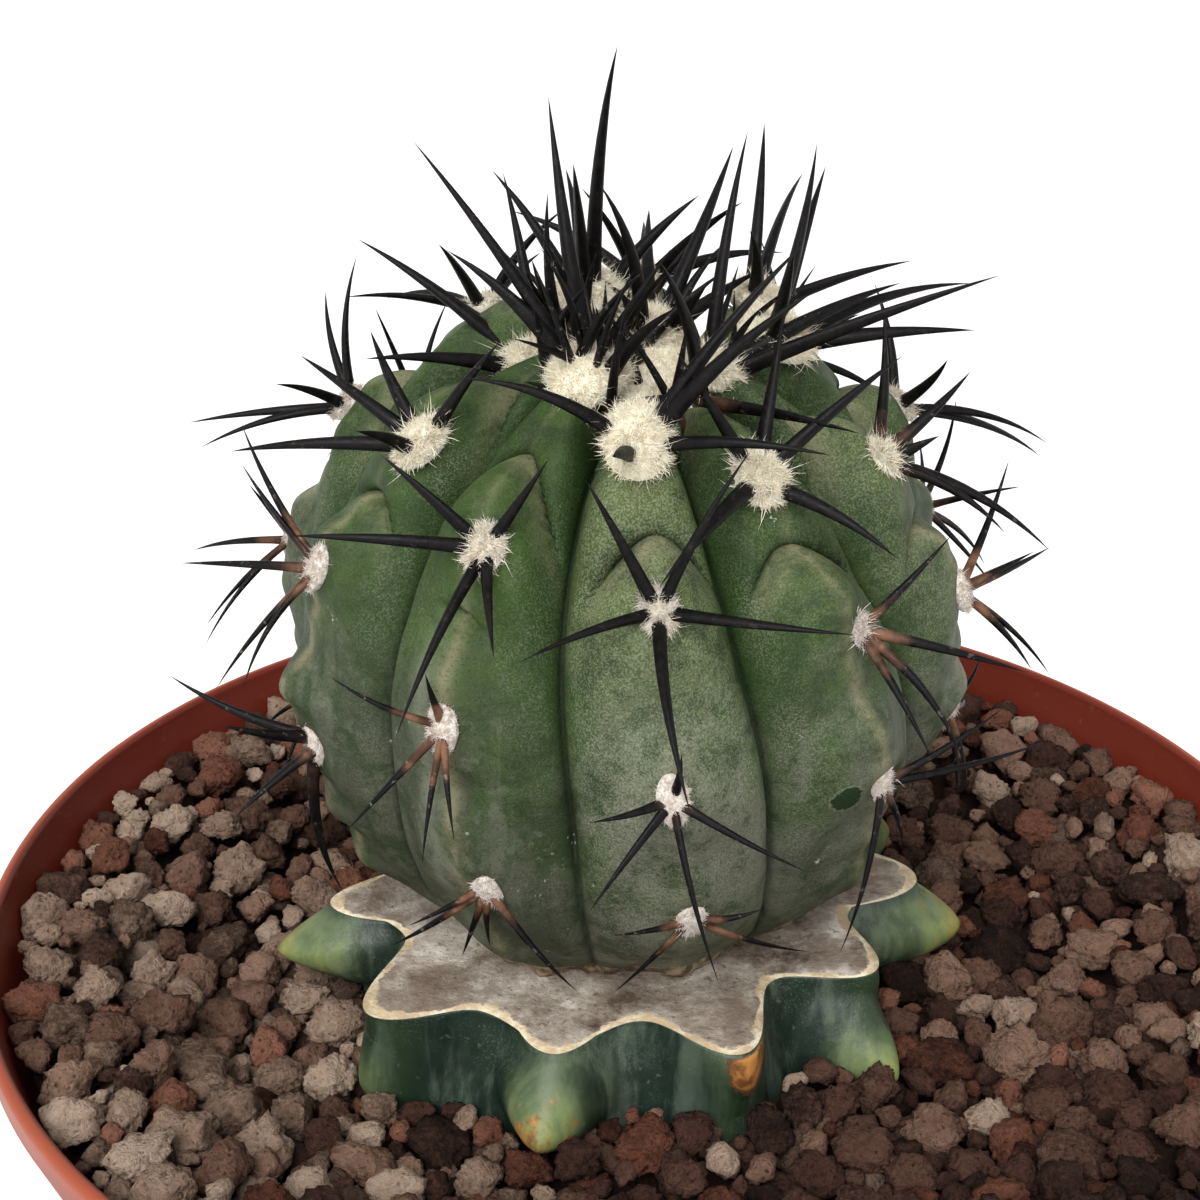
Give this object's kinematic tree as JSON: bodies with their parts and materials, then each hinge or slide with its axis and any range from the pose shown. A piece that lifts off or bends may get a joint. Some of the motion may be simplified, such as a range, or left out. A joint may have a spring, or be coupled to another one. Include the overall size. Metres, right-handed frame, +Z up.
{
  "type": "potted grafted copiapoa cactus",
  "caption": "Small copiapoa cactus with woolly areoles and black spines, grafted on a ribbed cactus stub, in a round terracotta-coloured plastic pot of volcanic gravel.",
  "frame": {"origin": "middle of the pot's underside", "axes": "+Z up along the pot's axis; the pictured front of the plant faces -Y; +X is to the viewer's right"},
  "size_m": [0.14, 0.14, 0.1918],
  "materials": {
    "pot_plastic": "satin moulded plastic",
    "volcanic_gravel": "rough and porous",
    "stock_skin": "smooth waxy plant skin",
    "scion_skin": "matt farinose plant skin"
  },
  "bodies": {
    "root": {"pot": "pot_plastic", "gravel": "volcanic_gravel", "rootstock": "stock_skin", "scion": "scion_skin"}
  },
  "joints": []
}
